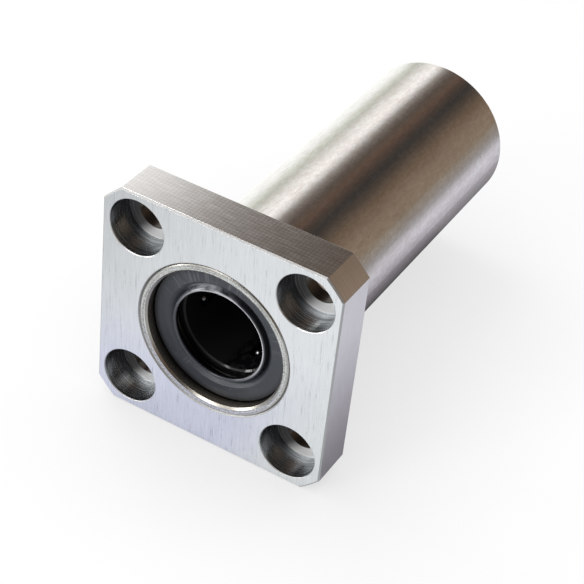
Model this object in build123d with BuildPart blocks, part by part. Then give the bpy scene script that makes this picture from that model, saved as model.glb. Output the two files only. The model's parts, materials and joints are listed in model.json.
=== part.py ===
from build123d import *
import os
from math import atan, cos, degrees, floor, hypot, pi, radians, sin

# Flanged linear ball bearing: a long race tube in a square screw-on flange, with two ball cages inside.
# The bore runs along Y. The flange's front face looks to -Y and the tube runs back to +Y, with +Z up.
# The origin is the point of the bore axis that lies in the flange's mounting face, its rear one.
# All lengths are in millimetres and all angles in degrees.

# Main sizes. The tube's wall is the steel outside the lands that the balls run on.
shaft_diameter = 12.0
tube_wall = 2.45
bearing_length = 57.0

# Flange, pressed against a low sloping shoulder of the tube
flange_thickness = 6.0
flange_edge_chamfer = 0.2
flange_corner_reach = 5.0
flange_shoulder = 0.17
flange_bore_chamfer = 0.2
seam_chamfer = 0.12

# Flange screws: socket-head screws sunk below the front face
screw_count = 4
screw_first_angle = 45.0
screw_hole_diameter = 4.5
screw_head_seat_diameter = 7.5
screw_head_seat_depth = 4.1
screw_head_seat_wall = 1.75
screw_seat_chamfer = 0.1

# Tube ends, the same at the front and at the rear
tube_end_chamfer = 0.5
end_seat_wall = 1.15
end_seat_depth = 3.5
end_seat_chamfer = 0.25

# End ring that keeps the cage in
end_ring_thickness = 0.6
end_ring_bore = 13.8
end_ring_chamfer = 0.1

# Seal
seal_recess = 1.55
seal_edge_round = 0.15
seal_dish = 0.12
seal_face_rise = 0.2
seal_lip_recess = 1.2
seal_lip_round = 0.25
seal_lip_land = 0.3
seal_lip_wall = 0.45
seal_lip_height = 0.75
seal_lip_taper = 0.1
seal_slope_width = 0.75
seal_back_flare = 1.3

# Balls and their circuits
ball_diameter = 2.0
ball_clearance = 0.05
ball_gap = 0.05
turn_ball_count = 3
circuit_count = 4
circuit_first_angle = 7.0
loaded_row_offset = 1.2
floor_thickness = 0.15

# Cages and the spacer between them
cage_bore_clearance = 0.2
cage_outer_clearance = 0.1
cage_end_play = 0.05
cage_end_chamfer = 0.3
cage_bore_chamfer = 0.2
cage_end_wall = 0.8
spacer_length = 4.0
spacer_chamfer = 0.2

# Race lands, which carry the loaded rows
land_half_width = 1.1
land_end_relief = 1.1
return_relief_margin = 0.4
turned_relief_extra = 0.05

# Radii that follow from the sizes above
ball_radius = ball_diameter / 2
groove_radius = ball_radius + ball_clearance
loaded_row_radius = shaft_diameter / 2 + ball_radius
land_radius = loaded_row_radius + groove_radius
cage_bore_radius = shaft_diameter / 2 + cage_bore_clearance
cage_outer_radius = land_radius - cage_outer_clearance
tube_radius = land_radius + tube_wall
flange_bore_radius = tube_radius - flange_shoulder
end_seat_radius = tube_radius - end_seat_wall

# The screw-head seats stand off the tube by their wall, and the flange's square is as wide as the
# circle of the screws. Its corners are turned to a diameter that reaches past the sides.
screw_circle_diameter = 2 * (tube_radius + screw_head_seat_wall) + screw_head_seat_diameter
flange_side = screw_circle_diameter
flange_corner_diameter = flange_side + 2 * flange_corner_reach

# A circuit lies in a plane that stands off the bore axis by circuit_height. Its turns are half circles,
# just wide enough that the balls in them keep ball_gap apart.
circuit_height = cage_bore_radius + floor_thickness + groove_radius
turn_radius = (ball_diameter + ball_gap) / (2 * sin(pi / (2 * turn_ball_count)))
ball_pitch = pi * turn_radius / turn_ball_count
return_row_offset = loaded_row_offset - 2 * turn_radius
return_row_radius = hypot(circuit_height, return_row_offset)
return_relief_radius = return_row_radius + groove_radius
groove_open_height = 2 * ball_diameter

# Stations along the bore
front_end = -flange_thickness
rear_end = front_end + bearing_length
cage_space_start = front_end + end_seat_depth
cage_space_end = rear_end - end_seat_depth
cage_length = (cage_space_end - cage_space_start - spacer_length) / 2 - cage_end_play
turn_reach = turn_radius + groove_radius
straight_ball_count = floor((cage_length - 2 * (turn_reach + cage_end_wall)) / ball_pitch)
straight_length = straight_ball_count * ball_pitch
cage_middles = {
    "front": cage_space_start + cage_length / 2,
    "rear": cage_space_end - cage_length / 2,
}
circuit_angles = [circuit_first_angle + 360.0 / circuit_count * i for i in range(circuit_count)]


def station(y):
    """Plane square to the bore at y. What is extruded from it runs towards the far end."""
    return Plane(origin=(0, y, 0), x_dir=(-1, 0, 0), z_dir=(0, 1, 0))


def circuit_plane(angle, middle):
    """Plane of one circuit: its x runs along the bore, its y round the cage and its z outwards."""
    outwards = (cos(radians(angle)), 0, sin(radians(angle)))
    origin = (circuit_height * outwards[0], middle, circuit_height * outwards[2])
    return Plane(origin=origin, x_dir=(0, 1, 0), z_dir=outwards)


def lowered_row_point(along):
    """Place in a circuit plane of a loaded ball, which runs lower than the plane, down on the shaft."""
    to_shaft = loaded_row_radius / hypot(circuit_height, loaded_row_offset)
    return (along, loaded_row_offset * to_shaft, circuit_height * (to_shaft - 1))


def save(piece, label):
    """Names a finished piece and writes it to its own file."""
    piece.label = label
    export_step(piece, f"parts/{label}.step")


def make_flange():
    """Square plate with turned corners, a bore for the tube and sunk holes for its screws."""
    with BuildPart() as flange:
        with BuildSketch(station(front_end)):
            Rectangle(flange_side, flange_side)
            Circle(flange_corner_diameter / 2, mode=Mode.INTERSECT)
        extrude(amount=flange_thickness)
        end_faces = flange.faces().filter_by(Axis.Y)
        chamfer(end_faces.edges(), flange_edge_chamfer)
        with BuildSketch(station(front_end)):
            Circle(flange_bore_radius)
        extrude(amount=flange_thickness, mode=Mode.SUBTRACT)
        front_face, rear_face = flange.faces().filter_by(Axis.Y).sort_by(Axis.Y)
        chamfer(front_face.inner_wires().edges(), flange_bore_chamfer)
        chamfer(rear_face.inner_wires().edges(), flange_shoulder)
        with Locations(Plane.XZ.offset(flange_thickness)):
            with PolarLocations(screw_circle_diameter / 2, screw_count, screw_first_angle):
                CounterBoreHole(
                    screw_hole_diameter / 2,
                    screw_head_seat_diameter / 2,
                    screw_head_seat_depth,
                    flange_thickness,
                )
        front_face = flange.faces().filter_by(Axis.Y).sort_by(Axis.Y)[0]
        seat_mouths = front_face.inner_wires().edges().sort_by(SortBy.LENGTH)[:screw_count]
        chamfer(seat_mouths, screw_seat_chamfer)
    return flange.part


def make_race_tube():
    """Ground outer tube: seats for seal and end ring at both ends, and the raceways inside."""
    reliefs = [return_relief(angle) for angle in circuit_angles]
    with BuildPart() as tube:
        with BuildSketch(Plane.XY):
            with BuildLine():
                Polyline(
                    (land_radius, cage_space_start),
                    (end_seat_radius, cage_space_start),
                    (end_seat_radius, front_end + end_seat_chamfer),
                    (end_seat_radius + end_seat_chamfer, front_end),
                    (flange_bore_radius - seam_chamfer, front_end),
                    (flange_bore_radius, front_end + seam_chamfer),
                    (flange_bore_radius, -flange_shoulder),
                    (tube_radius, 0),
                    (tube_radius, rear_end - tube_end_chamfer),
                    (tube_radius - tube_end_chamfer, rear_end),
                    (end_seat_radius + end_seat_chamfer, rear_end),
                    (end_seat_radius, rear_end - end_seat_chamfer),
                    (end_seat_radius, cage_space_end),
                    (land_radius, cage_space_end),
                    close=True,
                )
            make_face()
        revolve(axis=Axis.Y)
        # The lands end short of the turns, in turned reliefs where the balls leave the load
        land_length = straight_length - 2 * land_end_relief
        relief_length = turn_reach + land_end_relief
        for middle in cage_middles.values():
            for start in (middle - land_length / 2 - relief_length, middle + land_length / 2):
                with BuildSketch(station(start)):
                    Circle(return_relief_radius + turned_relief_extra)
                extrude(amount=relief_length, mode=Mode.SUBTRACT)
        # Beside the lands a groove for each returning row runs the whole way through
        add(reliefs, mode=Mode.SUBTRACT)
    return tube.part


def return_relief(angle):
    """Wedge of space, from the axis out, that a circuit's returning row needs inside the tube."""
    land_edge = degrees(atan(loaded_row_offset / circuit_height) - land_half_width / land_radius)
    return_edge = degrees(
        atan((return_row_offset - groove_radius) / circuit_height) - return_relief_margin / land_radius
    )
    with BuildPart() as relief:
        with BuildSketch(Plane.XZ.offset(-cage_space_start)):
            with BuildLine():
                first = PolarLine((0, 0), return_relief_radius, angle + return_edge)
                arc = CenterArc((0, 0), return_relief_radius, angle + return_edge, land_edge - return_edge)
                Line(arc @ 1, first @ 0)
            make_face()
        extrude(amount=cage_space_start - cage_space_end)
    return relief.part


def make_cage(middle):
    """Moulded cage: a sleeve with an oval track for each circuit and a window under each loaded row."""
    planes = [circuit_plane(angle, middle) for angle in circuit_angles]
    tracks = [oval_track(plane) for plane in planes]
    windows = [loaded_window(plane) for plane in planes]
    with BuildPart() as cage:
        with BuildSketch(station(middle - cage_length / 2)):
            Circle(cage_outer_radius)
            Circle(cage_bore_radius, mode=Mode.SUBTRACT)
        extrude(amount=cage_length)
        chamfer(cage.edges().filter_by(GeomType.CIRCLE).sort_by(SortBy.RADIUS)[-2:], cage_end_chamfer)
        chamfer(cage.edges().filter_by(GeomType.CIRCLE).sort_by(SortBy.RADIUS)[:2], cage_bore_chamfer)
        add(tracks, mode=Mode.SUBTRACT)
        add(windows, mode=Mode.SUBTRACT)
    return cage.part


def oval_track(plane):
    """Space of an oval track: a round-bottomed groove, open outwards, swept along the balls' path."""
    half = straight_length / 2
    turn_middle = loaded_row_offset - turn_radius
    start = plane.from_local_coords((-half, loaded_row_offset, 0))
    with BuildPart() as track:
        with BuildLine(plane):
            Line((-half, loaded_row_offset), (half, loaded_row_offset))
            ThreePointArc(
                (half, loaded_row_offset), (half + turn_radius, turn_middle), (half, return_row_offset)
            )
            Line((half, return_row_offset), (-half, return_row_offset))
            ThreePointArc(
                (-half, return_row_offset), (-half - turn_radius, turn_middle), (-half, loaded_row_offset)
            )
        with BuildSketch(Plane(origin=start, x_dir=plane.y_dir, z_dir=plane.x_dir)):
            Circle(groove_radius)
            Rectangle(2 * groove_radius, groove_open_height, align=(Align.CENTER, Align.MIN))
        sweep()
    return track.part


def loaded_window(plane):
    """Space of the window through which a loaded row reaches the shaft, too narrow to let a ball out."""
    start = plane.from_local_coords(lowered_row_point(-straight_length / 2))
    end = plane.from_local_coords(lowered_row_point(straight_length / 2))
    with BuildPart() as window:
        with BuildSketch(Plane(origin=start, z_dir=plane.x_dir)):
            Circle(groove_radius)
        extrude(amount=straight_length)
        with Locations(start, end):
            Sphere(groove_radius)
    return window.part


def make_spacer():
    """Plain ring that keeps the two cages apart."""
    first = cage_middles["front"] + cage_length / 2 + cage_end_play
    with BuildPart() as spacer:
        with BuildSketch(station(first)):
            Circle(cage_outer_radius)
            Circle(cage_bore_radius, mode=Mode.SUBTRACT)
        extrude(amount=spacer_length)
        chamfer(spacer.edges().filter_by(GeomType.CIRCLE), spacer_chamfer)
    return spacer.part


def make_end_ring(end, inwards):
    """Flat steel ring against the tube's shoulder, which stops the cage from leaving."""
    outer = end + inwards * (end_seat_depth - end_ring_thickness)
    inner = end + inwards * end_seat_depth
    with BuildPart() as ring:
        with BuildSketch(station(min(outer, inner))):
            Circle(end_seat_radius)
            Circle(end_ring_bore / 2, mode=Mode.SUBTRACT)
        extrude(amount=end_ring_thickness)
        chamfer(ring.edges().filter_by(GeomType.CIRCLE), end_ring_chamfer)
    return ring.part


def make_seal(end, inwards):
    """Rubber seal: a dished face that slopes down to a thin lip, which stands up round the shaft."""
    lip_radius = shaft_diameter / 2
    collar_radius = lip_radius + seal_lip_wall
    root_radius = collar_radius + seal_lip_taper
    face_radius = root_radius + seal_slope_width
    face_depth = seal_recess - seal_face_rise
    root_depth = seal_lip_recess + seal_lip_height
    back_depth = end_seat_depth - end_ring_thickness
    land_start = seal_lip_recess + seal_lip_round

    def at(radius, depth):
        return (radius, end + inwards * depth)

    with BuildPart() as seal:
        with BuildSketch(Plane.XY):
            with BuildLine():
                Line(at(end_seat_radius, back_depth), at(end_seat_radius, seal_recess + seal_edge_round))
                Line(
                    at(end_seat_radius, seal_recess + seal_edge_round),
                    at(end_seat_radius - seal_edge_round, seal_recess),
                )
                ThreePointArc(
                    at(end_seat_radius - seal_edge_round, seal_recess),
                    at((end_seat_radius + face_radius) / 2, (seal_recess + face_depth) / 2 + seal_dish),
                    at(face_radius, face_depth),
                )
                Line(at(face_radius, face_depth), at(root_radius, root_depth))
                Line(at(root_radius, root_depth), at(collar_radius, land_start))
                ThreePointArc(
                    at(collar_radius, land_start),
                    at((collar_radius + lip_radius) / 2, seal_lip_recess),
                    at(lip_radius, land_start),
                )
                Polyline(
                    at(lip_radius, land_start),
                    at(lip_radius, land_start + seal_lip_land),
                    at(lip_radius + seal_back_flare, back_depth),
                    at(end_seat_radius, back_depth),
                )
            make_face()
        revolve(axis=Axis.Y)
    return seal.part


def make_balls(plane, places):
    """Balls at the given places of a circuit plane."""
    centres = [plane.from_local_coords(place) for place in places]
    with BuildPart() as balls:
        with Locations(*centres):
            Sphere(ball_radius)
    return balls.part


def straight_steps():
    """Distances along a straight row, from its middle, at which its balls stand."""
    return [(i + 0.5) * ball_pitch - straight_length / 2 for i in range(straight_ball_count)]


def turn_places(side):
    """Places of the balls in the turn at the front (side -1) or at the rear (side 1) of a circuit."""
    places = []
    for i in range(turn_ball_count):
        swing = pi / 2 - (i + 0.5) * pi / turn_ball_count
        along = side * (straight_length / 2 + turn_radius * cos(swing))
        places.append((along, loaded_row_offset - turn_radius + turn_radius * sin(swing), 0))
    return places


def save_circuit(name, plane):
    """Writes one circuit's balls as four groups, each of which moves as one."""
    loaded = [lowered_row_point(step) for step in straight_steps()]
    returning = [(step, return_row_offset, 0) for step in straight_steps()]
    save(make_balls(plane, loaded), f"{name}_loaded_balls")
    save(make_balls(plane, returning), f"{name}_return_balls")
    save(make_balls(plane, turn_places(-1)), f"{name}_front_turn_balls")
    save(make_balls(plane, turn_places(1)), f"{name}_rear_turn_balls")


os.makedirs("parts", exist_ok=True)
save(make_flange(), "flange")
save(make_race_tube(), "race_tube")
save(make_spacer(), "cage_spacer")
for place, end, inwards in (("front", front_end, 1), ("rear", rear_end, -1)):
    save(make_end_ring(end, inwards), f"{place}_end_ring")
    save(make_seal(end, inwards), f"{place}_seal")
    save(make_cage(cage_middles[place]), f"{place}_ball_cage")
    for number, angle in enumerate(circuit_angles, start=1):
        save_circuit(f"{place}_circuit_{number}", circuit_plane(angle, cage_middles[place]))
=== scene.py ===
"""Looks of the flanged linear bearing: finishes for its steel, resin and rubber, and a studio to see it in.

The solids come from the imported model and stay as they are. Each operator finishes one piece or one group
of like pieces with procedural materials. Lengths are in metres and +Z is up, but the materials measure
places on a piece in millimetres, and angles round the bore in radians from +X towards +Z.
"""

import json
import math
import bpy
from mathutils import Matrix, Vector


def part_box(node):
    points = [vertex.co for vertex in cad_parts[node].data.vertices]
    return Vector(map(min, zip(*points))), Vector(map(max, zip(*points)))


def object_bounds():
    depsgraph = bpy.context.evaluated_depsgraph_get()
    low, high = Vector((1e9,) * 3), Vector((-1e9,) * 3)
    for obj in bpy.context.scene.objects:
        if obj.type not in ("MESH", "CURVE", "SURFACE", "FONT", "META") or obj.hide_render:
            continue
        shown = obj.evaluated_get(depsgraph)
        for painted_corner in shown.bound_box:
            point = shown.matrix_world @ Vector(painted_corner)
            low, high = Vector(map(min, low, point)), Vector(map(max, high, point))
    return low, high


bl_info = {
    "name": "Flanged Linear Bearing Looks",
    "version": (1, 0, 0),
    "blender": (4, 5, 0),
    "location": "3D View > Sidebar > Bearing",
    "description": "Finishes for a flanged linear bearing, with a studio round it",
    "category": "Material",
}

import bpy
from bpy.props import FloatProperty, FloatVectorProperty, PointerProperty
from mathutils import Matrix, Vector

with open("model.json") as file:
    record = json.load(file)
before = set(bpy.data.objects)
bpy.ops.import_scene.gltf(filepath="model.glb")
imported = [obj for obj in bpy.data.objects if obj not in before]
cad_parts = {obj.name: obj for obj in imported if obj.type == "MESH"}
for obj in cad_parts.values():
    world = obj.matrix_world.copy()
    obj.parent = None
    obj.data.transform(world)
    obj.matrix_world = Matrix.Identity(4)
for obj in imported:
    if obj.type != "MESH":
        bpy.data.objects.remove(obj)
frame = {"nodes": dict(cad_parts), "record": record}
cad_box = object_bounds()

MILLIMETRE = 0.001

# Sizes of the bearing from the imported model, in millimetres
mounts = {mount["name"]: mount["dims"] for mount in frame["record"]["mounts"]}
FRONT_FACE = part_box("flange")[0].y / MILLIMETRE
TUBE_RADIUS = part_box("race_tube")[1].x / MILLIMETRE
TUBE_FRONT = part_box("race_tube")[0].y / MILLIMETRE
TUBE_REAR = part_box("race_tube")[1].y / MILLIMETRE
END_SEAT_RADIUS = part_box("front_end_ring")[1].x / MILLIMETRE
SHAFT_RADIUS = mounts["shaft_bore"]["r_mm"]
SCREW_HOLE_RADIUS = mounts["screw_holes"]["hole_r_mm"]
SCREW_OFFSET = mounts["screw_holes"]["pcd_mm"] / 2 * math.cos(math.radians(45))

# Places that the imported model's record doesn't name, in millimetres
SEAT_RADIUS = 3.75
SEAM_RADIUS = TUBE_RADIUS - 0.17
LIP_ROOT_RADIUS = SHAFT_RADIUS + 0.65
SEAL_FACE_EDGE = 8.5
SEAL_RIM = 9.25
RECESS_DEPTH = 1.36

# Angles round the bore of the marks that the photograph shows, in radians: scratches, a painted highlight on
# the lip, and oil
SCRATCHED_ANGLE = 2.0
LIP_HIGHLIGHT_ANGLE = 1.75
OILED_ANGLE = -1.2

# The narrow sides mirror as if rounded, by so much for each millimetre, and the top one as if it leaned
SIDE_LEAN = math.sin(math.radians(5.0))
SIDE_ROUNDING = 0.0056

# Depths of fine marks and the softness of edges, in metres
BRUSHED_DEPTH = 0.000009
GROUND_DEPTH = 0.000004
POLISHED_DEPTH = 0.000002
RUBBER_DEPTH = 0.000012
EDGE_SOFTNESS = 0.00008

# Colours of wear and dirt on the flange and the tube, and of the light and shade painted on them
SEAM_DIRT = (0.42, 0.41, 0.38)
# The next two: dull edges, darkened as painted shade that dims the lamps' highlights
DULL_AND_SHADED_FLANGE_EDGE = (0.3, 0.3, 0.3)
DULL_AND_SHADED_TUBE_EDGE = (0.3, 0.29, 0.27)
WALL_DARK = (0.18, 0.195, 0.205)
WALL_PALE = (0.71, 0.76, 0.80)
# Painted shade on the left of the screw seats' walls
WALL_LEFT_SHADE = (0.064, 0.068, 0.071)
SEAT_DARK = (0.74, 0.73, 0.71)
SEAT_PALE = (0.96, 0.95, 0.94)
# Painted highlight where a seat's floor meets its wall
SEAT_CORNER_HIGHLIGHT = (0.98, 0.98, 0.97)
SHADOW_DARK = (0.02, 0.02, 0.021)
SHADOW_PALE = (0.13, 0.13, 0.132)
# Painted shade inside the screw holes
HOLE_SHADE_BROWN = (0.08, 0.072, 0.065)
RUBBED_BROWN = (0.50, 0.42, 0.36)
MOTTLED_BROWN = (0.56, 0.50, 0.46)
PIT_BROWN = (0.12, 0.09, 0.07)
OIL_DARK = (0.24, 0.195, 0.14)
OIL_PALE = (0.56, 0.50, 0.42)
# Painted shade deep in the tube's end seats
END_SEAT_CORNER_SHADE = (0.03, 0.026, 0.02)
END_DARK = (0.28, 0.275, 0.26)
END_PALE = (0.70, 0.695, 0.67)

# Colours of wear and dirt on the seals, and of the light and shade painted on them
SCRATCH_GREY = (0.15, 0.155, 0.165)
DUST_GREY = (0.5, 0.5, 0.5)
# Painted highlight on top of the lip
LIP_HIGHLIGHT_GREY = (0.52, 0.53, 0.56)
# Painted shade at the lip's root
ROOT_SHADE_BLACK = (0.006, 0.006, 0.008)
# Painted shade behind the lip and in the corner by the tube
RECESS_SHADE_BLACK = (0.004, 0.004, 0.005)
# Painted highlight along the lip's edge, pale towards the upper right and dark towards the lower left
LIP_LINE_SHADE = (0.03, 0.032, 0.04)
LIP_LINE_HIGHLIGHT = (0.55, 0.55, 0.57)

# How the steel mirrors the floor beside the tube, as shares of the way between two places, in millimetres
BESIDE_START = -30.0
BESIDE_END = 150.0
BESIDE_STOPS = [
    (0.0, (1.22, 1.24, 1.2)),
    (0.07, (1.0, 1.0, 1.0)),
    (0.14, (0.30, 0.28, 0.30)),
    (0.20, (0.10, 0.09, 0.105)),
    (0.25, (0.32, 0.295, 0.33)),
    (0.29, (0.63, 0.60, 0.68)),
    (0.34, (0.78, 0.76, 0.85)),
    (0.39, (0.66, 0.64, 0.70)),
    (0.49, (0.36, 0.335, 0.34)),
    (0.70, (0.27, 0.23, 0.20)),
    (1.0, (0.31, 0.25, 0.19)),
]

# What the steel mirrors all round the tube's line, as shares of a turn that begins at the right and goes up
SKY_STOPS = [
    (0.0, (0.32, 0.25, 0.185)),
    (0.06, (0.30, 0.22, 0.16)),
    (0.12, (0.19, 0.135, 0.092)),
    (0.165, (0.09, 0.068, 0.054)),
    (0.195, (0.05, 0.046, 0.042)),
    (0.22, (0.078, 0.058, 0.048)),
    (0.255, (0.15, 0.095, 0.068)),
    (0.285, (0.12, 0.098, 0.08)),
    (0.305, (0.20, 0.165, 0.145)),
    (0.325, (0.36, 0.325, 0.295)),
    (0.346, (0.95, 0.92, 0.89)),
    (0.37, (1.32, 1.27, 1.23)),
    (0.40, (1.10, 1.08, 1.04)),
    (0.45, (0.68, 0.69, 0.62)),
    (0.48, (0.86, 0.89, 0.80)),
    (0.51, (1.16, 1.19, 1.13)),
    (0.62, (1.25, 1.27, 1.25)),
    (0.75, (0.9, 0.9, 0.95)),
    (1.0, (0.31, 0.245, 0.185)),
]
SKY_ENDS = (0.75, 0.74, 0.74)

# Where the mirrored floor changes: at the flange's foot, at the left and beside the tube, in millimetres
FOOT_FAR = -24.0
FOOT_NEAR = -13.0
FOOT_RIGHT = 10.0
LEFT_START = -14.0
LEFT_END = -45.0
LEFT_SHARE = 0.6
BESIDE_FROM = -7.0
BESIDE_TO = -2.0

# The floor's gap, half width and reach of the shadow, in metres, and the shadow's darkest tone
FLOOR_GAP = 0.00002
FLOOR_HALF_WIDTH = 3.0
SHADOW_REACH = 0.03
SHADOW_TONE = 0.72

# The camera's sensor in millimetres, and the nearest and farthest that it sees in metres
SENSOR_WIDTH = 36.0
NEAREST = 0.005
FARTHEST = 50.0

# Each lamp's name, place, width and share of the set power
LAMPS = (
    ("main_lamp", (-0.28, 0.1, 0.42), 0.35, 1.0),
    ("side_lamp", (-0.48, -0.24, 0.10), 0.18, 0.45),
    ("front_lamp", (-0.165, -0.39, 0.265), 0.2, 0.55),
)
LAMP_AIM = Vector((0.0, 0.015, 0.0))

WHITE = (1.0, 1.0, 1.0)

# Most soft random values lie between these two
NOISE_LOW = 0.3
NOISE_HIGH = 0.7

# Rays for each soft edge and each shadow
SOFT_SAMPLES = 8


class Graph:
    """The node tree of one material or of the world, with short ways to add and join its nodes."""

    def __init__(self, tree):
        self.tree = tree
        tree.nodes.clear()

    def add(self, kind, inputs=None, **settings):
        """Adds a node, sets its options and fills its inputs with values or with other nodes' outputs."""
        node = self.tree.nodes.new(kind)
        for name, value in settings.items():
            setattr(node, name, value)
        for name, value in (inputs or {}).items():
            self.fill(node.inputs[name], value)
        return node

    def fill(self, socket, value):
        """Links an output to the socket, or writes a value into it. A colour is written as three numbers."""
        if isinstance(value, bpy.types.NodeSocket):
            self.tree.links.new(value, socket)
        elif socket.type == "RGBA":
            socket.default_value = (*value, 1.0)
        else:
            socket.default_value = value

    def math(self, operation, first, second=0.0):
        """One step of arithmetic on two numbers."""
        return self.add("ShaderNodeMath", {0: first, 1: second}, operation=operation).outputs[0]

    def times(self, first, second):
        """One number times another."""
        return self.math("MULTIPLY", first, second)

    def minus(self, first, second):
        """One number less another."""
        return self.math("SUBTRACT", first, second)

    def larger(self, first, second):
        """The larger of two numbers."""
        return self.math("MAXIMUM", first, second)

    def off(self, value, middle):
        """How far a number is from a middle, to either side."""
        return self.math("ABSOLUTE", self.minus(value, middle))

    def total(self, first, *others):
        """The sum of two or more numbers."""
        for other in others:
            first = self.math("ADD", first, other)
        return first

    def vector(self, operation, first, second=(0.0, 0.0, 0.0)):
        """One step of arithmetic on two vectors."""
        return self.add("ShaderNodeVectorMath", {0: first, 1: second}, operation=operation).outputs["Vector"]

    def length(self, vector):
        """The length of a vector."""
        return self.add("ShaderNodeVectorMath", {0: vector}, operation="LENGTH").outputs["Value"]

    def parts(self, vector):
        """The x, y and z of a vector."""
        split = self.add("ShaderNodeSeparateXYZ", {0: vector})
        return split.outputs["X"], split.outputs["Y"], split.outputs["Z"]

    def join(self, x, y, z):
        """A vector from its x, y and z."""
        return self.add("ShaderNodeCombineXYZ", {"X": x, "Y": y, "Z": z}).outputs[0]

    def ease(self, value, start, end, low=0.0, high=1.0):
        """Goes smoothly from low, where value is at start, to high, where it is at end."""
        inputs = {"Value": value, "From Min": start, "From Max": end, "To Min": low, "To Max": high}
        return self.add("ShaderNodeMapRange", inputs, interpolation_type="SMOOTHSTEP").outputs[0]

    def stretch(self, value, start, end, low, high):
        """Goes evenly from low, where value is at start, to high, where it is at end."""
        inputs = {"Value": value, "From Min": start, "From Max": end, "To Min": low, "To Max": high}
        return self.add("ShaderNodeMapRange", inputs).outputs[0]

    def spread(self, noise, low, high):
        """Spreads soft random values evenly from low to high."""
        return self.stretch(noise, NOISE_LOW, NOISE_HIGH, low, high)

    def noise(self, vector, scale=1.0, detail=3.0, roughness=0.55):
        """Soft random values round a half. The scale is one number, or one for each of x, y and z."""
        if isinstance(scale, tuple):
            vector, scale = self.vector("MULTIPLY", vector, scale), 1.0
        inputs = {"Vector": vector, "Scale": scale, "Detail": detail, "Roughness": roughness}
        return self.add("ShaderNodeTexNoise", inputs).outputs["Fac"]

    def specks(self, vector, scale, radius):
        """Small round spots, each at a random place: one at its middle and nought past its radius."""
        distance = self.add("ShaderNodeTexVoronoi", {"Vector": vector, "Scale": scale}).outputs["Distance"]
        return self.ease(distance, radius, radius * 0.3)

    def tint(self, share, first, second):
        """A colour between two others."""
        return self.add("ShaderNodeMix", {0: share, 6: first, 7: second}, data_type="RGBA").outputs[2]

    def between(self, share, first, second):
        """A number between two others."""
        return self.add("ShaderNodeMix", {0: share, 2: first, 3: second}, data_type="FLOAT").outputs[0]

    def relief(self, height, depth, strength, normal=None):
        """Bumps of the given depth in metres, on the surface itself or on another direction of facing."""
        inputs = {"Height": height, "Distance": depth, "Strength": strength}
        if normal is not None:
            inputs["Normal"] = normal
        return self.add("ShaderNodeBump", inputs).outputs[0]

    def place(self):
        """The point's place on the piece in millimetres, so that marks move with the piece."""
        own = self.add("ShaderNodeTexCoord").outputs["Object"]
        return self.vector("MULTIPLY", own, (1 / MILLIMETRE,) * 3)

    def round_bore(self, place):
        """The point's distance from the bore's axis, and its angle."""
        x, _, z = self.parts(place)
        return self.length(self.join(x, 0.0, z)), self.math("ARCTAN2", z, x)

    def facing(self):
        """How squarely the surface faces along x, y and z, each from nought to one."""
        own = self.add("ShaderNodeTexCoord").outputs["Normal"]
        return self.parts(self.vector("ABSOLUTE", own))

    def finish(self, **inputs):
        """Ends the material in a surface shader. The names of its inputs have underscores for spaces."""
        spaced = {name.replace("_", " "): value for name, value in inputs.items()}
        surface = self.add("ShaderNodeBsdfPrincipled", spaced)
        self.add("ShaderNodeOutputMaterial", {"Surface": surface.outputs[0]})


def toned(rgb, share):
    """The same colour made darker or paler."""
    return tuple(min(1.0, part * share) for part in rgb)


def new_material(name):
    """An empty material and its graph."""
    material = bpy.data.materials.new(name)
    material.use_nodes = True
    return material, Graph(material.node_tree)


def dress(nodes, material):
    """Gives the named solids one material."""
    for name in nodes:
        if name not in frame["nodes"]:
            raise RuntimeError(f"The packed model has no node named {name}")
        piece = frame["nodes"][name]
        piece.data.materials.clear()
        piece.data.materials.append(material)


def pieces_ending(ending):
    """The names of all the solids with this ending, in order."""
    names = sorted(name for name in frame["nodes"] if name.endswith(ending))
    if not names:
        raise RuntimeError(f"The packed model has no node whose name ends in {ending}")
    return names


def broken_edge(graph, along_y):
    """Share of a surface that slopes half way between the front and the sides, as the broken edges do."""
    return graph.times(graph.ease(along_y, 0.35, 0.6), graph.ease(along_y, 0.95, 0.8))


def seam_dirt(graph, place, radius):
    """Share of dirt in the fine seam between the flange and the tube, on the front face."""
    _, y, _ = graph.parts(place)
    line = graph.ease(graph.off(radius, SEAM_RADIUS), 0.32, 0.14)
    front = graph.ease(y, FRONT_FACE + 1.0, FRONT_FACE + 0.5)
    patchy = graph.spread(graph.noise(place, 0.7), 0.3, 0.95)
    return graph.times(graph.times(line, front), patchy)


def flange_grain(graph, place, grain, flat):
    """Fine lines up and down the front and rear faces, and crossed grinding marks on the narrow sides."""
    x, y, z = graph.parts(place)
    fine = MILLIMETRE / grain
    slanted = graph.join(graph.total(x, graph.times(z, 0.03)), y, z)
    upright = graph.noise(slanted, (fine, 1.0, 0.4), 4.0)
    streaks = graph.noise(slanted, (fine * 0.35, 1.0, 0.16))
    around = graph.total(x, z)
    rising = graph.math("SINE", graph.times(graph.total(around, y), fine * 0.9))
    falling = graph.math("SINE", graph.times(graph.minus(around, y), fine * 0.9))
    crossed = graph.stretch(graph.times(rising, falling), -1.0, 1.0, 0.36, 0.64)
    worn = graph.noise(graph.join(around, y, 0.0), (0.5, 2.5, 0.0), 4.0)
    return graph.between(flat, graph.between(0.45, crossed, worn), graph.between(0.4, upright, streaks))


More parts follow.
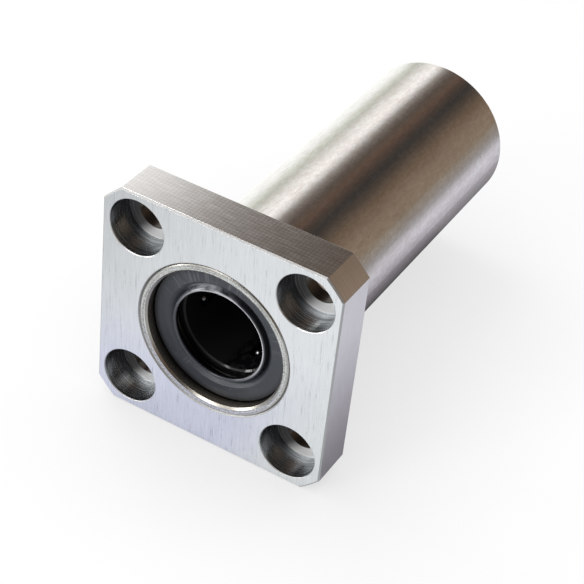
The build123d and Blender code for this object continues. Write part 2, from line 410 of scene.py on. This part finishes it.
def rounded_sides(graph, place, flat, soft_edge):
    """Turns the soft edges' direction, because the narrow sides mirror as if round and the top one leans."""
    x, _, z = graph.parts(place)
    _, _, up = graph.parts(graph.add("ShaderNodeTexCoord").outputs["Normal"])
    along_x, _, along_z = graph.facing()
    lean = graph.times(graph.ease(up, 0.9, 0.95), SIDE_LEAN)
    turn_x = graph.total(graph.times(graph.times(x, SIDE_ROUNDING), along_z), lean)
    turn_z = graph.times(graph.times(z, SIDE_ROUNDING), along_x)
    share = graph.minus(1.0, flat)
    turned = graph.join(graph.times(turn_x, share), 0.0, graph.times(turn_z, share))
    return graph.vector("NORMALIZE", graph.vector("ADD", soft_edge, turned))


def from_nearest_hole(graph, place):
    """How far the point is to the right of the nearest screw hole's axis, above it, and from it in all."""
    x, _, z = graph.parts(place)
    right = graph.minus(x, graph.times(graph.math("SIGN", x), SCREW_OFFSET))
    above = graph.minus(z, graph.times(graph.math("SIGN", z), SCREW_OFFSET))
    return right, above, graph.length(graph.join(right, 0.0, above))


def inside_seats(graph, y, away):
    """Share of a surface that is sunk in a screw-head seat or a screw hole."""
    within = graph.ease(away, SEAT_RADIUS + 0.08, SEAT_RADIUS - 0.02)
    behind_front = graph.ease(y, FRONT_FACE + 0.02, FRONT_FACE + 0.3)
    before_rear = graph.ease(y, -0.02, -0.15)
    return graph.times(within, graph.times(behind_front, before_rear))


def seat_colour(graph, place, flat, turned):
    """Turned walls with painted shade at the left, a floor in painted shadow but at the lower right, a
    painted highlight where the floor meets the wall, and a brown hole darkened as painted shade.
    """
    _, y, _ = graph.parts(place)
    _, angle = graph.round_bore(place)
    right, above, away = from_nearest_hole(graph, place)
    turning = graph.noise(graph.join(y, angle, 0.0), (14.0, 1.0, 0.0))
    walls = graph.tint(graph.ease(turning, 0.35, 0.65), WALL_DARK, WALL_PALE)
    # Painted shade on the left side of the walls
    walls = graph.tint(graph.ease(right, 0.6, -3.2, 0.0, 0.68), walls, WALL_LEFT_SHADE)
    # Painted highlight along the floor's outer corner
    painted_corner = graph.ease(away, SEAT_RADIUS - 0.34, SEAT_RADIUS - 0.2)
    seat_floor = graph.tint(painted_corner, graph.tint(turned, SEAT_DARK, SEAT_PALE), SEAT_CORNER_HIGHLIGHT)
    shadow = graph.tint(graph.ease(turned, 0.35, 0.65), SHADOW_DARK, SHADOW_PALE)
    lower_right = graph.minus(right, above)
    seat_floor = graph.tint(graph.ease(lower_right, 3.3, 0.4, 0.0, 0.95), seat_floor, shadow)
    # Painted shade inside the screw hole
    hole = graph.ease(away, SCREW_HOLE_RADIUS + 0.12, SCREW_HOLE_RADIUS + 0.02)
    return graph.tint(hole, graph.tint(flat, walls, seat_floor), HOLE_SHADE_BROWN)


def brushed_colour(graph, steel, place, marks, dashes):
    """The flange's steel, cloudy, lined by its marks and broken by short dark dashes."""
    shade = graph.total(graph.spread(marks, 0.0, 0.75), graph.spread(graph.noise(place, 0.12), 0.0, 0.25))
    base = graph.tint(shade, toned(steel, 0.84), toned(steel, 1.1))
    return graph.tint(graph.times(dashes, 0.55), base, toned(steel, 0.45))


def flange_edges(graph, place, radius, away, along_y, soft_edge):
    """Share of a surface that is a dull edge, also by the seam, which gets painted shade to dim the lamps'
    highlights. It is least at the upper seats' rims.
    """
    _, _, z = graph.parts(place)
    facing_front = graph.math("ABSOLUTE", graph.parts(soft_edge)[1])
    near_seam = graph.ease(radius, SEAM_RADIUS + 0.67, SEAM_RADIUS + 0.47)
    seam_edge = graph.times(graph.ease(facing_front, 0.99, 0.85), near_seam)
    off_seats = graph.ease(away, SEAT_RADIUS + 0.3, SEAT_RADIUS + 0.5)
    share = graph.between(off_seats, graph.ease(z, -2.0, 2.0, 0.9, 0.45), 1.0)
    return graph.larger(graph.times(broken_edge(graph, along_y), share), seam_edge)


def flange_steel(settings):
    """Brushed steel with screw-head seats in painted light and shade, dirt in the seam round the tube, and
    dull edges darkened as painted shade.
    """
    material, graph = new_material("flange_brushed_steel")
    place = graph.place()
    _, y, _ = graph.parts(place)
    radius, _ = graph.round_bore(place)
    _, _, away = from_nearest_hole(graph, place)
    along_y = graph.facing()[1]
    flat = graph.ease(along_y, 0.6, 0.8)
    sunk = inside_seats(graph, y, away)
    seat_floor = graph.times(sunk, flat)
    grain = flange_grain(graph, place, settings.grain, flat)
    turned = graph.noise(graph.join(away, y, 0.0), (8.0, 6.0, 0.0), 4.0)
    marks = graph.between(sunk, grain, turned)
    dashes = graph.times(graph.ease(grain, 0.44, 0.33), flat)
    dirt = seam_dirt(graph, place, radius)
    soft_edge = graph.add("ShaderNodeBevel", {"Radius": EDGE_SOFTNESS}, samples=SOFT_SAMPLES).outputs[0]
    edges = flange_edges(graph, place, radius, away, along_y, soft_edge)
    base = brushed_colour(graph, settings.colour, place, marks, dashes)
    base = graph.tint(sunk, base, seat_colour(graph, place, flat, turned))
    base = graph.tint(dirt, base, SEAM_DIRT)
    # Dull edges: rougher, and darker as painted shade that dims the lamps' highlights
    base = graph.tint(graph.times(edges, 0.7), base, DULL_AND_SHADED_FLANGE_EDGE)
    rough = graph.total(
        graph.between(flat, settings.side_roughness, settings.roughness),
        graph.spread(marks, -0.07, 0.07),
        graph.times(graph.total(sunk, seat_floor), 0.1),
        graph.times(graph.larger(dirt, edges), 0.3),
    )
    metal = graph.minus(1.0, graph.times(seat_floor, 0.85))
    bumps = graph.relief(marks, BRUSHED_DEPTH, 0.8, rounded_sides(graph, place, flat, soft_edge))
    graph.finish(Base_Color=base, Metallic=metal, Roughness=rough, Normal=bumps, Anisotropic=0.3)
    return material


def worn_tube(graph, steel, place, unrolled, radius, marks):
    """The tube's steel, cloudy and mottled. Returns its colour and the share of it that is rubbed."""
    clouds = graph.noise(unrolled, (0.12, 0.3, 0.0))
    shade = graph.total(graph.spread(marks, 0.0, 0.5), graph.spread(clouds, 0.0, 0.5))
    base = graph.tint(shade, toned(steel, 0.86), toned(steel, 1.09))
    streaks = graph.noise(unrolled, (0.5, 1.8, 0.0), 5.0, 0.7)
    here_and_there = graph.ease(graph.noise(place, 0.09, 2.0), 0.42, 0.6)
    rubbed = graph.times(graph.ease(streaks, 0.52, 0.66), here_and_there)
    base = graph.tint(graph.times(rubbed, 0.45), base, RUBBED_BROWN)
    along, around, _ = graph.parts(unrolled)
    mottle = graph.noise(graph.join(along, around, radius), (1.1, 2.2, 1.0), 6.0, 0.7)
    return graph.tint(graph.ease(mottle, 0.6, 0.42, 0.0, 0.4), base, MOTTLED_BROWN), rubbed


def oily_seat(graph, unrolled):
    """Colour of the tube's end seats: brown oil in rings, and painted shade darker down in the front one's
    corner.
    """
    along, _, _ = graph.parts(unrolled)
    oiled = graph.noise(unrolled, (5.0, 0.3, 0.0))
    # Painted shade, darker deeper in the seat
    painted_corner = graph.ease(along, FRONT_FACE + 0.2, FRONT_FACE + 1.5)
    return graph.tint(graph.times(painted_corner, 0.75), graph.tint(oiled, OIL_DARK, OIL_PALE), END_SEAT_CORNER_SHADE)


def end_face_colour(graph, place, radius, angle):
    """Colour of the tube's end faces: turned in rings and speckled."""
    rings = graph.noise(graph.join(radius, angle, 0.0), (7.0, 1.5, 0.0))
    speckled = graph.between(0.5, rings, graph.noise(place, 4.5, 5.0))
    return graph.tint(graph.ease(speckled, 0.4, 0.6), END_DARK, END_PALE)


def tube_steel(settings):
    """Hardened steel, ground bright, then rubbed and mottled, with pits, oily end seats with painted shade in
    their corners, and dull edges darkened as painted shade.
    """
    material, graph = new_material("tube_ground_steel")
    place = graph.place()
    _, y, _ = graph.parts(place)
    radius, angle = graph.round_bore(place)
    unrolled = graph.join(y, graph.times(angle, TUBE_RADIUS), 0.0)
    along_y = graph.facing()[1]
    end_face = graph.ease(along_y, 0.7, 0.9)
    near_seat = graph.ease(radius, END_SEAT_RADIUS + 0.36, END_SEAT_RADIUS + 0.28)
    end_seat = graph.times(near_seat, graph.minus(1.0, end_face))
    ground = graph.noise(unrolled, (MILLIMETRE / settings.grind, 0.15, 0.0), 4.0)
    drag = graph.noise(unrolled, (0.06, 3.2, 0.0))
    marks = graph.between(end_face, graph.between(0.3, ground, drag), graph.noise(place, 6.0, 4.0))
    pits = graph.specks(place, 0.42, 0.055)
    dirt = seam_dirt(graph, place, radius)
    base, rubbed = worn_tube(graph, settings.colour, place, unrolled, radius, marks)
    base = graph.tint(graph.times(pits, 0.55), base, PIT_BROWN)
    base = graph.tint(end_seat, base, oily_seat(graph, unrolled))
    base = graph.tint(end_face, base, end_face_colour(graph, place, radius, angle))
    base = graph.tint(dirt, base, SEAM_DIRT)
    # Dull edges: rougher, and darker as painted shade that dims the lamps' highlights
    base = graph.tint(graph.times(broken_edge(graph, along_y), 0.8), base, DULL_AND_SHADED_TUBE_EDGE)
    rough = graph.total(
        graph.spread(marks, -0.04, 0.05),
        settings.roughness,
        graph.times(dirt, 0.3),
        graph.times(rubbed, 0.08),
        graph.times(graph.total(end_face, end_seat), 0.16),
    )
    bumps = graph.relief(graph.minus(marks, graph.times(pits, 0.8)), GROUND_DEPTH, 0.5)
    graph.finish(Base_Color=base, Metallic=1.0, Roughness=rough, Normal=bumps, Anisotropic=0.2)
    return material


def ring_steel(settings):
    """Pressed steel made near black as painted shade for the shaded bore, with a faint sheared grain."""
    material, graph = new_material("ring_pressed_steel")
    grain = graph.noise(graph.place(), (1.5, 1.5, 9.0), 4.0)
    base = graph.tint(grain, toned(settings.colour, 0.8), settings.colour)
    bumps = graph.relief(grain, GROUND_DEPTH, 0.5)
    graph.finish(Base_Color=base, Metallic=1.0, Roughness=graph.spread(grain, 0.42, 0.58), Normal=bumps)
    return material


def ball_steel(settings):
    """Polished bearing steel under a film of oil, made dark as painted shade for the shaded bore."""
    material, graph = new_material("ball_polished_steel")
    film = graph.noise(graph.place(), 0.8)
    base = graph.tint(film, toned(settings.colour, 0.92), settings.colour)
    bumps = graph.relief(film, POLISHED_DEPTH, 0.3)
    graph.finish(Base_Color=base, Metallic=1.0, Roughness=graph.spread(film, 0.08, 0.2), Normal=bumps)
    return material


def moulded_resin(name, rgb, dullness):
    """Black moulded resin with a dull grain, faint flow lines and drops of oil low in the bore."""
    material, graph = new_material(name)
    place = graph.place()
    _, y, _ = graph.parts(place)
    _, angle = graph.round_bore(place)
    grain = graph.noise(place, 14.0)
    flow = graph.noise(place, (0.5, 0.12, 0.5))
    base = graph.tint(flow, toned(rgb, 0.75), toned(rgb, 1.3))
    bottom = graph.ease(graph.off(angle, OILED_ANGLE), 0.5, 0.3)
    drops = graph.noise(graph.join(angle, y, 0.0), (9.0, 0.8, 0.0), 2.0)
    oil = graph.times(bottom, graph.ease(drops, 0.42, 0.5))
    rough = graph.between(oil, graph.spread(grain, dullness - 0.07, dullness + 0.07), 0.12)
    bumps = graph.relief(grain, GROUND_DEPTH, 0.5)
    graph.finish(Base_Color=base, Roughness=rough, Normal=bumps, Specular_IOR_Level=0.4)
    return material


def scratched_rubber(graph, rubber, place, angle, lines):
    """The seals' rubber, cloudy and dusty, scratched from the middle out at the upper left and in patches."""
    base = graph.tint(graph.noise(place, 0.35), toned(rubber, 0.85), toned(rubber, 1.15))
    upper_left = graph.ease(graph.off(angle, SCRATCHED_ANGLE), 0.9, 0.4)
    patches = graph.ease(graph.noise(place, 0.2, 2.0), 0.56, 0.68, 0.0, 0.6)
    scratched = graph.times(lines, graph.larger(upper_left, patches))
    base = graph.tint(graph.times(scratched, 0.6), base, SCRATCH_GREY)
    return graph.tint(graph.times(graph.specks(place, 0.8, 0.07), 0.6), base, DUST_GREY)


def painted_lip_light(graph, base, place, polar):
    """Paints light and shade on the lip: a highlight on top, shade at its root on the right, and a highlight
    along its edge, pale at the upper right.
    """
    x, _, z = graph.parts(place)
    angle, radius, _ = graph.parts(polar)
    # Painted highlight in patches on top of the lip
    lip_highlight_patches = graph.ease(graph.noise(polar, (4.0, 3.0, 0.0)), 0.28, 0.62)
    on_top = graph.ease(graph.off(angle, LIP_HIGHLIGHT_ANGLE), 0.75, 0.35)
    on_lip = graph.times(graph.ease(radius, SHAFT_RADIUS + 0.95, SHAFT_RADIUS + 0.75), on_top)
    base = graph.tint(graph.times(graph.times(lip_highlight_patches, on_lip), 0.85), base, LIP_HIGHLIGHT_GREY)
    # Painted shade at the lip's root on the right
    rightward = graph.total(graph.times(x, 0.85), graph.times(z, 0.5))
    at_root = graph.ease(graph.off(radius, LIP_ROOT_RADIUS), 0.42, 0.15)
    root_shade = graph.times(at_root, graph.ease(rightward, 1.5, 5.0))
    base = graph.tint(graph.times(root_shade, 0.9), base, ROOT_SHADE_BLACK)
    # Painted highlight along the lip's edge, pale towards the upper right
    upper_right = graph.total(graph.times(x, 0.6), graph.times(z, 0.8))
    lip_highlight_line = graph.tint(graph.ease(upper_right, -3.5, 5.0), LIP_LINE_SHADE, LIP_LINE_HIGHLIGHT)
    return graph.tint(graph.ease(radius, SHAFT_RADIUS + 0.3, SHAFT_RADIUS + 0.16), base, lip_highlight_line)


def painted_recess_shade(graph, base, y, radius):
    """Paints shade on the seal: black behind its lip and in the corner by the tube."""
    # Painted shade deep in the bore behind the lip and in the corner by the tube
    below_end = graph.minus((TUBE_REAR - TUBE_FRONT) / 2, graph.off(y, (TUBE_FRONT + TUBE_REAR) / 2))
    in_bore = graph.ease(radius, SHAFT_RADIUS + 0.5, SHAFT_RADIUS + 0.2)
    behind_lip = graph.times(in_bore, graph.ease(below_end, RECESS_DEPTH, RECESS_DEPTH + 0.1))
    by_tube = graph.times(graph.ease(radius, SEAL_FACE_EDGE, SEAL_RIM), 0.8)
    return graph.tint(by_tube, graph.tint(behind_lip, base, RECESS_SHADE_BLACK), RECESS_SHADE_BLACK)


def seal_rubber(settings):
    """Dark blue-grey rubber with lines from the middle out, a smoother lip with painted highlights and
    painted shade at its root, and painted shade that blackens its recesses.
    """
    material, graph = new_material("seal_dark_rubber")
    place = graph.place()
    _, y, _ = graph.parts(place)
    radius, angle = graph.round_bore(place)
    polar = graph.join(angle, radius, 0.0)
    lines = graph.ease(graph.noise(polar, (40.0, 0.3, 0.0)), 0.52, 0.62)
    grain = graph.noise(place, 9.0, 4.0)
    base = scratched_rubber(graph, settings.colour, place, angle, lines)
    base = painted_lip_light(graph, base, place, polar)
    base = painted_recess_shade(graph, base, y, radius)
    lip = graph.ease(radius, SHAFT_RADIUS + 0.75, SHAFT_RADIUS + 0.4)
    dull = graph.spread(grain, settings.roughness - 0.05, settings.roughness + 0.06)
    rough = graph.minus(dull, graph.times(lip, 0.32))
    height = graph.minus(graph.times(grain, 0.6), graph.times(lines, 0.5))
    bumps = graph.relief(height, RUBBER_DEPTH, 0.6)
    graph.finish(Base_Color=base, Roughness=rough, Normal=bumps, Specular_IOR_Level=0.5)
    return material


def fill_ramp(ramp, stops):
    """Gives a colour ramp its stops, each a place and a colour."""
    elements = ramp.color_ramp.elements
    while len(elements) < len(stops):
        elements.new(0.5)
    for element, (at, rgb) in zip(elements, stops):
        element.position = at
        element.color = (*rgb, 1.0)


def mirrored_floor(graph, settings, place, beside):
    """Colour of the mirrored floor: before the flange, at its foot, at the left and beside the tube."""
    x, y, _ = graph.parts(place)
    at_foot = graph.times(graph.ease(y, FOOT_FAR, FOOT_NEAR), graph.ease(x, FOOT_RIGHT, 0.0))
    front_glow = graph.tint(at_foot, settings.front_glow, settings.foot_glow)
    dim_left = toned(settings.front_glow, LEFT_SHARE)
    front_glow = graph.tint(graph.ease(x, LEFT_START, LEFT_END), front_glow, dim_left)
    ramp = graph.add("ShaderNodeValToRGB", {0: graph.stretch(x, BESIDE_START, BESIDE_END, 0.0, 1.0)})
    fill_ramp(ramp, BESIDE_STOPS)
    return graph.tint(beside, front_glow, ramp.outputs[0])


def floor_surface(settings):
    """Pale floor: white to the camera but for a shadow, and coloured where the steel mirrors it."""
    material, graph = new_material("floor_pale")
    rays = graph.add("ShaderNodeLightPath").outputs
    seen = graph.larger(rays["Is Camera Ray"], rays["Is Glossy Ray"])
    seen = graph.larger(seen, rays["Is Transmission Ray"])
    place = graph.place()
    beside = graph.ease(graph.parts(place)[1], BESIDE_FROM, BESIDE_TO)
    glow_colour = graph.tint(rays["Is Camera Ray"], mirrored_floor(graph, settings, place, beside), WHITE)
    open_sky = graph.add("ShaderNodeAmbientOcclusion", {"Distance": SHADOW_REACH}, samples=SOFT_SAMPLES)
    openness = open_sky.outputs["AO"]
    mirrored_shadow = graph.math("POWER", openness, graph.between(beside, 0.2, 1.1))
    seen_shadow = graph.stretch(openness, 0.0, 1.0, SHADOW_TONE, 1.0)
    strength = graph.between(rays["Is Camera Ray"], mirrored_shadow, seen_shadow)
    glow = graph.add("ShaderNodeEmission", {"Color": glow_colour, "Strength": strength}).outputs[0]
    tone = graph.tint(graph.noise(place, 0.3), toned(settings.floor_colour, 0.98), settings.floor_colour)
    matt = graph.add("ShaderNodeBsdfDiffuse", {"Color": tone}).outputs[0]
    share = graph.times(seen, settings.floor_glow)
    mixed = graph.add("ShaderNodeMixShader", {0: share, 1: matt, 2: glow}).outputs[0]
    graph.add("ShaderNodeOutputMaterial", {"Surface": mixed})
    return material


def studio_world(settings):
    """White to the camera. The steel mirrors it bright at the upper left and brown at the upper right."""
    world = bpy.data.worlds.new("studio")
    world.use_nodes = True
    graph = Graph(world.node_tree)
    rays = graph.add("ShaderNodeLightPath").outputs
    x, y, z = graph.parts(graph.add("ShaderNodeTexCoord").outputs["Generated"])
    turns = graph.math("DIVIDE", graph.math("ARCTAN2", z, x), 2 * math.pi)
    ramp = graph.add("ShaderNodeValToRGB", {0: graph.math("FRACT", graph.total(turns, 1.0))})
    fill_ramp(ramp, SKY_STOPS)
    ends = graph.ease(graph.math("ABSOLUTE", y), 0.86, 0.97)
    around = graph.tint(ends, ramp.outputs[0], SKY_ENDS)
    mirrored = graph.larger(rays["Is Glossy Ray"], rays["Is Transmission Ray"])
    plain = graph.tint(mirrored, settings.sky_colour, around)
    shown = graph.tint(rays["Is Camera Ray"], plain, WHITE)
    background = graph.add("ShaderNodeBackground", {"Color": shown, "Strength": 1.0})
    graph.add("ShaderNodeOutputWorld", {"Surface": background.outputs[0]})
    return world


def add_floor(scene, settings):
    """A wide floor just under the bearing, so that none of its faces lies in the floor's plane."""
    level = cad_box[0].z - FLOOR_GAP
    half = FLOOR_HALF_WIDTH
    mesh = bpy.data.meshes.new("floor")
    corners = [(-half, -half, level), (half, -half, level), (half, half, level), (-half, half, level)]
    mesh.from_pydata(corners, [], [(0, 1, 2, 3)])
    mesh.materials.append(floor_surface(settings))
    floor = bpy.data.objects.new("floor", mesh)
    scene.collection.objects.link(floor)


def add_lamp(scene, name, place, width, power):
    """A large soft lamp that points at the bearing."""
    lamp = bpy.data.lights.new(name, "AREA")
    lamp.shape = "DISK"
    lamp.size = width
    lamp.energy = power
    holder = bpy.data.objects.new(name, lamp)
    holder.location = place
    holder.rotation_mode = "QUATERNION"
    holder.rotation_quaternion = (LAMP_AIM - Vector(place)).to_track_quat("-Z", "Y")
    scene.collection.objects.link(holder)


def add_camera(scene, settings):
    """Camera at the photograph's viewing angle: its turn about the object, its height and its roll."""
    turn, height, roll = settings.camera_turn, settings.camera_height, settings.camera_roll
    back = Vector((math.sin(turn) * math.cos(height), -math.cos(turn) * math.cos(height), math.sin(height)))
    right = Vector((math.cos(turn), math.sin(turn), 0.0))
    up = back.cross(right)
    rolled_right = right * math.cos(roll) + up * math.sin(roll)
    rolled_up = up * math.cos(roll) - right * math.sin(roll)
    shift = rolled_right * settings.camera_aside + rolled_up * settings.camera_raised
    place = shift + back * settings.camera_distance
    place.y += FRONT_FACE * MILLIMETRE
    data = bpy.data.cameras.new("camera")
    data.lens = settings.camera_lens
    data.sensor_width = SENSOR_WIDTH
    data.clip_start = NEAREST
    data.clip_end = FARTHEST
    camera = bpy.data.objects.new("camera", data)
    axes = Matrix((rolled_right, rolled_up, back)).transposed()
    camera.matrix_world = Matrix.Translation(place) @ axes.to_4x4()
    scene.collection.objects.link(camera)
    scene.camera = camera


class FlangeFinish(bpy.types.PropertyGroup):
    """Finish of the square flange."""

    colour: FloatVectorProperty(
        name="Steel", description="Colour of the flange's steel",
        subtype="COLOR", size=3, min=0.0, max=1.0, default=(0.75, 0.755, 0.76),
    )
    grain: FloatProperty(
        name="Grain", description="Width of one brushed line",
        unit="LENGTH", min=0.00002, default=0.00014,
    )
    roughness: FloatProperty(
        name="Roughness", description="How dull the steel is",
        subtype="FACTOR", min=0.05, max=1.0, default=0.3,
    )
    side_roughness: FloatProperty(
        name="Side roughness", description="How dull the narrow sides are",
        subtype="FACTOR", min=0.05, max=1.0, default=0.17,
    )


class TubeFinish(bpy.types.PropertyGroup):
    """Finish of the race tube."""

    colour: FloatVectorProperty(
        name="Steel", description="Colour of the tube's steel",
        subtype="COLOR", size=3, min=0.0, max=1.0, default=(0.76, 0.755, 0.75),
    )
    grind: FloatProperty(
        name="Grinding marks", description="Width of one mark round the tube",
        unit="LENGTH", min=0.00002, default=0.00012,
    )
    roughness: FloatProperty(
        name="Roughness", description="How dull the tube is",
        subtype="FACTOR", min=0.05, max=1.0, default=0.12,
    )


class RingFinish(bpy.types.PropertyGroup):
    """Finish of the end rings."""

    # Near black, as painted shade for the shaded bore
    colour: FloatVectorProperty(
        name="Steel", description="Colour of the rings' blackened steel",
        subtype="COLOR", size=3, min=0.0, max=1.0, default=(0.035, 0.034, 0.033),
    )


class BallFinish(bpy.types.PropertyGroup):
    """Finish of the balls."""

    # Dark, as painted shade for the shaded bore
    colour: FloatVectorProperty(
        name="Steel", description="Colour of the balls' steel",
        subtype="COLOR", size=3, min=0.0, max=1.0, default=(0.12, 0.12, 0.125),
    )


class ResinFinish(bpy.types.PropertyGroup):
    """Finish of the cages and of the spacer."""

    cage_colour: FloatVectorProperty(
        name="Cage", description="Colour of the cages' resin",
        subtype="COLOR", size=3, min=0.0, max=1.0, default=(0.005, 0.005, 0.006),
    )
    cage_roughness: FloatProperty(
        name="Cage roughness", description="How dull the cages are",
        subtype="FACTOR", min=0.1, max=0.9, default=0.62,
    )
    spacer_colour: FloatVectorProperty(
        name="Spacer", description="Colour of the spacer's resin",
        subtype="COLOR", size=3, min=0.0, max=1.0, default=(0.02, 0.02, 0.022),
    )
    spacer_roughness: FloatProperty(
        name="Spacer roughness", description="How dull the spacer is",
        subtype="FACTOR", min=0.1, max=0.9, default=0.5,
    )


class SealFinish(bpy.types.PropertyGroup):
    """Finish of the rubber seals."""

    colour: FloatVectorProperty(
        name="Rubber", description="Colour of the seals' rubber",
        subtype="COLOR", size=3, min=0.0, max=1.0, default=(0.034, 0.039, 0.049),
    )
    roughness: FloatProperty(
        name="Roughness", description="How dull the rubber is",
        subtype="FACTOR", min=0.05, max=1.0, default=0.46,
    )


class StudioSettings(bpy.types.PropertyGroup):
    """Floor, lamps, sky and camera."""

    floor_colour: FloatVectorProperty(
        name="Floor", description="Colour of the floor",
        subtype="COLOR", size=3, min=0.0, max=1.0, default=(0.9, 0.9, 0.9),
    )
    floor_glow: FloatProperty(
        name="Floor's white", description="Share of plain white in the floor as it is seen",
        subtype="FACTOR", min=0.0, max=1.0, default=0.85,
    )
    foot_glow: FloatVectorProperty(
        name="Foot's reflection", description="Floor at the flange's foot, as the steel mirrors it",
        subtype="COLOR", size=3, min=0.0, max=1.5, default=(0.85, 0.88, 1.08),
    )
    front_glow: FloatVectorProperty(
        name="Front reflection", description="Floor before the flange, as the steel mirrors it",
        subtype="COLOR", size=3, min=0.0, max=1.5, default=(1.02, 1.06, 1.08),
    )
    sky_colour: FloatVectorProperty(
        name="Sky", description="Even light from all round",
        subtype="COLOR", size=3, min=0.0, max=2.0, default=(0.5, 0.5, 0.52),
    )
    lamp_power: FloatProperty(
        name="Lamp", description="Power of the main lamp",
        subtype="POWER", min=0.0, default=1.6,
    )
    camera_turn: FloatProperty(
        name="Camera turn", description="Turn of the camera about the object",
        subtype="ANGLE", default=math.radians(26.607),
    )
    camera_height: FloatProperty(
        name="Camera height", description="Angle of the camera above the floor",
        subtype="ANGLE", default=math.radians(38.452),
    )
    camera_roll: FloatProperty(
        name="Camera roll", description="Turn of the picture",
        subtype="ANGLE", default=math.radians(6.78),
    )
    camera_aside: FloatProperty(
        name="Camera aside", description="Camera's shift along the picture's width",
        unit="LENGTH", precision=5, default=0.009274,
    )
    camera_raised: FloatProperty(
        name="Camera raised", description="Camera's shift along the picture's height",
        unit="LENGTH", precision=5, default=0.005793,
    )
    camera_distance: FloatProperty(
        name="Camera distance", description="Distance of the camera",
        unit="LENGTH", default=0.197559,
    )
    camera_lens: FloatProperty(
        name="Lens", description="Focal length",
        unit="CAMERA", default=104.42,
    )


class BearingSettings(bpy.types.PropertyGroup):
    """All the settings of the bearing's looks."""

    flange: PointerProperty(type=FlangeFinish, name="Flange", description="Finish of the square flange")
    tube: PointerProperty(type=TubeFinish, name="Race tube", description="Finish of the race tube")
    rings: PointerProperty(type=RingFinish, name="End rings", description="Finish of the end rings")
    balls: PointerProperty(type=BallFinish, name="Balls", description="Finish of the balls")
    resin: PointerProperty(type=ResinFinish, name="Resin", description="Finish of the cages and the spacer")
    seals: PointerProperty(type=SealFinish, name="Seals", description="Finish of the rubber seals")
    studio: PointerProperty(type=StudioSettings, name="Studio", description="Floor, lamps, sky and camera")


class BEARING_OT_finish_flange(bpy.types.Operator):
    """Give the square flange its brushed steel"""

    bl_idname = "bearing.finish_flange"
    bl_label = "Finish Flange"

    def execute(self, context):
        dress(["flange"], flange_steel(context.scene.bearing.flange))
        return {"FINISHED"}


class BEARING_OT_finish_race_tube(bpy.types.Operator):
    """Give the race tube its ground steel"""

    bl_idname = "bearing.finish_race_tube"
    bl_label = "Finish Race Tube"

    def execute(self, context):
        dress(["race_tube"], tube_steel(context.scene.bearing.tube))
        return {"FINISHED"}


class BEARING_OT_finish_end_rings(bpy.types.Operator):
    """Give the two end rings their pressed steel"""

    bl_idname = "bearing.finish_end_rings"
    bl_label = "Finish End Rings"

    def execute(self, context):
        dress(pieces_ending("_end_ring"), ring_steel(context.scene.bearing.rings))
        return {"FINISHED"}


class BEARING_OT_finish_balls(bpy.types.Operator):
    """Give all the balls their polish"""

    bl_idname = "bearing.finish_balls"
    bl_label = "Finish Balls"

    def execute(self, context):
        dress(pieces_ending("_balls"), ball_steel(context.scene.bearing.balls))
        return {"FINISHED"}


class BEARING_OT_finish_cages(bpy.types.Operator):
    """Give the two ball cages their black resin"""

    bl_idname = "bearing.finish_cages"
    bl_label = "Finish Ball Cages"

    def execute(self, context):
        resin = context.scene.bearing.resin
        material = moulded_resin("cage_black_resin", resin.cage_colour, resin.cage_roughness)
        dress(pieces_ending("_ball_cage"), material)
        return {"FINISHED"}


class BEARING_OT_finish_spacer(bpy.types.Operator):
    """Give the ring between the cages its resin"""

    bl_idname = "bearing.finish_spacer"
    bl_label = "Finish Cage Spacer"

    def execute(self, context):
        resin = context.scene.bearing.resin
        material = moulded_resin("spacer_black_resin", resin.spacer_colour, resin.spacer_roughness)
        dress(["cage_spacer"], material)
        return {"FINISHED"}


class BEARING_OT_finish_seals(bpy.types.Operator):
    """Give the two seals their dark rubber"""

    bl_idname = "bearing.finish_seals"
    bl_label = "Finish Seals"

    def execute(self, context):
        dress(pieces_ending("_seal"), seal_rubber(context.scene.bearing.seals))
        return {"FINISHED"}


class BEARING_OT_set_stage(bpy.types.Operator):
    """Put a pale floor, soft lamps, the sky and the camera round the bearing"""

    bl_idname = "bearing.set_stage"
    bl_label = "Set Stage"

    def execute(self, context):
        scene = context.scene
        settings = scene.bearing.studio
        add_floor(scene, settings)
        for name, place, width, share in LAMPS:
            add_lamp(scene, name, place, width, settings.lamp_power * share)
        scene.world = studio_world(settings)
        scene.view_settings.view_transform = "Standard"
        add_camera(scene, settings)
        return {"FINISHED"}


STEPS = (
    BEARING_OT_finish_flange,
    BEARING_OT_finish_race_tube,
    BEARING_OT_finish_end_rings,
    BEARING_OT_finish_balls,
    BEARING_OT_finish_cages,
    BEARING_OT_finish_spacer,
    BEARING_OT_finish_seals,
    BEARING_OT_set_stage,
)


class BEARING_PT_looks(bpy.types.Panel):
    """Lists the steps that dress the bearing"""

    bl_idname = "BEARING_PT_looks"
    bl_label = "Bearing Looks"
    bl_space_type = "VIEW_3D"
    bl_region_type = "UI"
    bl_category = "Bearing"

    def draw(self, context):
        for step in STEPS:
            self.layout.operator(step.bl_idname)


CLASSES = (
    FlangeFinish,
    TubeFinish,
    RingFinish,
    BallFinish,
    ResinFinish,
    SealFinish,
    StudioSettings,
    BearingSettings,
    *STEPS,
    BEARING_PT_looks,
)


def register():
    """Makes the settings, the steps and the panel known."""
    for cls in CLASSES:
        bpy.utils.register_class(cls)
    bpy.types.Scene.bearing = PointerProperty(type=BearingSettings)


def unregister():
    """Takes them away again."""
    del bpy.types.Scene.bearing
    for cls in reversed(CLASSES):
        bpy.utils.unregister_class(cls)


def main():
    """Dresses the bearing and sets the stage."""
    register()
    bpy.ops.bearing.finish_flange()
    bpy.ops.bearing.finish_race_tube()
    bpy.ops.bearing.finish_end_rings()
    bpy.ops.bearing.finish_balls()
    bpy.ops.bearing.finish_cages()
    bpy.ops.bearing.finish_spacer()
    bpy.ops.bearing.finish_seals()
    bpy.ops.bearing.set_stage()


if __name__ == "__main__":
    main()
